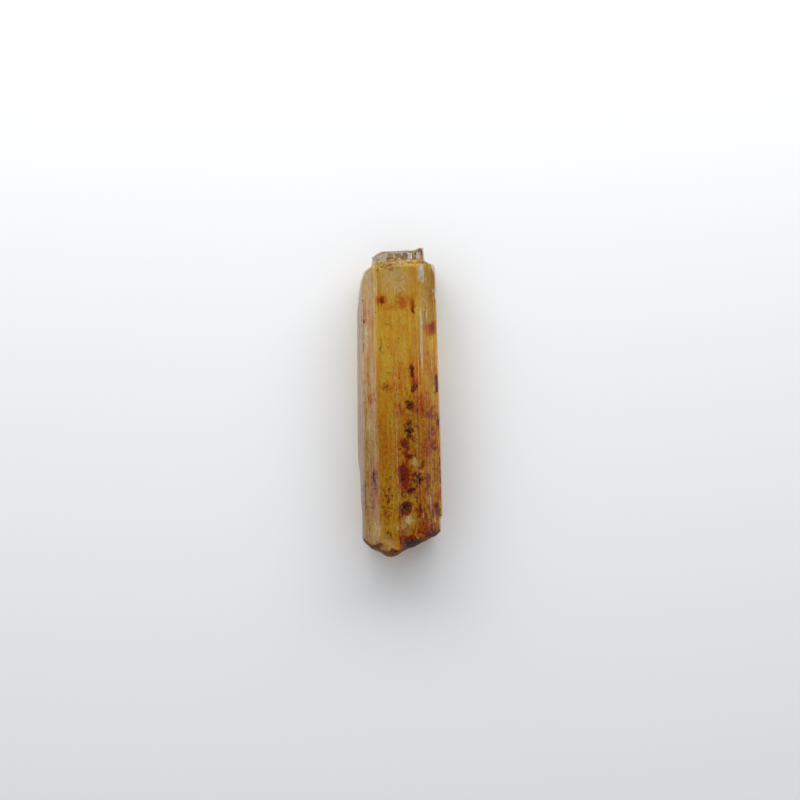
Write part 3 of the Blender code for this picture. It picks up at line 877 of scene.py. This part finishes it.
def makeSheet(values):
    bpy.ops.mesh.primitive_plane_add(size=values["width"], location=(0, 0, -values["gap"]))
    floor = bpy.context.object
    floor.name = "paleSheet"
    material, shader, _ = newMaterial("paleSheet")
    shader.inputs["Base Color"].default_value = values["colour"]
    shader.inputs["Roughness"].default_value = values["roughness"]
    floor.data.materials.append(material)
    print("sheet")


# Soft light, in metres: a wide lamp beyond the ledge end, a weak one on the left, and a dim room
# round them that is darkest straight above, where the camera is.
studio = {
    "sky": (0.99, 0.995, 1.0, 1),
    "overhead": 0.10,
    "high": 0.70,
    "low": 0.20,
    "overheadEnds": (0.965, 0.90),  # heights, as sines, between which it brightens away from the camera
    "lowEnds": (0.05, 0.72),
    "fromTop": 0.26,  # how much brighter the room is towards the ledge end, and on the left
    "fromLeft": 0.10,
    "lamps": (
        {"size": (0.30, 0.085), "place": (0.004, 0.118, 0.082), "power": 0.280},
        {"size": (0.06, 0.06), "place": (-0.09, 0.01, 0.12), "power": 0.006},
    ),
}


def makeLight(values):
    world = bpy.data.worlds.new("softRoom")
    world.use_nodes = True
    background = world.node_tree.nodes["Background"]
    towards = Wire(world.node_tree).add("ShaderNodeTexCoord", output="Generated")
    height = towards.axis(2)
    ring = values["low"] + height.between(*values["lowEnds"]) * (values["high"] - values["low"])
    ring = ring * (1.0 + towards.axis(1) * values["fromTop"] - towards.axis(0) * values["fromLeft"])
    around = height.between(*values["overheadEnds"])
    strength = values["overhead"] * (1.0 - around) + ring * around
    background.inputs["Color"].default_value = values["sky"]
    world.node_tree.links.new(strength.socket, background.inputs["Strength"])
    bpy.context.scene.world = world
    for lamp in values["lamps"]:
        bpy.ops.object.light_add(type="AREA", location=lamp["place"])
        light = bpy.context.object
        light.data.shape = "RECTANGLE"
        light.data.size, light.data.size_y = lamp["size"]
        light.data.energy = lamp["power"]
        light.rotation_euler = (-Vector(lamp["place"])).to_track_quat("-Z", "Y").to_euler()
    bpy.context.scene.view_settings.view_transform = "Standard"
    print("light")


photoView = {
    "lens": 100,
    "film": 36,  # the camera's sensor width, in millimetres like the lens
    "metresAcross": 0.07734,  # what the picture's width takes in at the crystal's widest height
    "widestHeight": 0.003,
    "lookAt": (0.00018, 0.00029),
    "lean": 1.6,  # degrees by which the crystal leans in the picture
    "nearest": 0.001,
}


def makeCamera(values):
    away = values["metresAcross"] * values["lens"] / values["film"]
    place = (*values["lookAt"], values["widestHeight"] + away)
    bpy.ops.object.camera_add(location=place, rotation=(0, 0, math.radians(-values["lean"])))
    camera = bpy.context.object
    camera.data.lens = values["lens"]
    camera.data.sensor_width = values["film"]
    camera.data.clip_start = values["nearest"]
    bpy.context.scene.camera = camera
    print("camera")


makeCamera(photoView)
crystal = makeCrystal(crystalSkin)
crystal.data.materials.clear()
crystal.data.materials.append(makeTopaz(amberTopaz))
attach(crystal, "root")
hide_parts("topaz_crystal")
stains = {name: makeMineral(name, values) for name, values in minerals.items()}
crystalSurface = BVHTree.FromObject(crystal, bpy.context.evaluated_depsgraph_get())
makeCrowds(crystalSurface, blackGrains, stains)
makeCrowds(crystalSurface, maroonGrains, stains)
makeCrowds(crystalSurface, rustGrains, stains)
makeCrowds(crystalSurface, paleFlecks, stains)
makeCrowds(crystalSurface, glintFlakes, stains)
makeCrowds(crystalSurface, paleNeedles, stains)
makeCrowds(crystalSurface, cleavageCracks, stains)
makeSheet(sheet)
makeLight(studio)
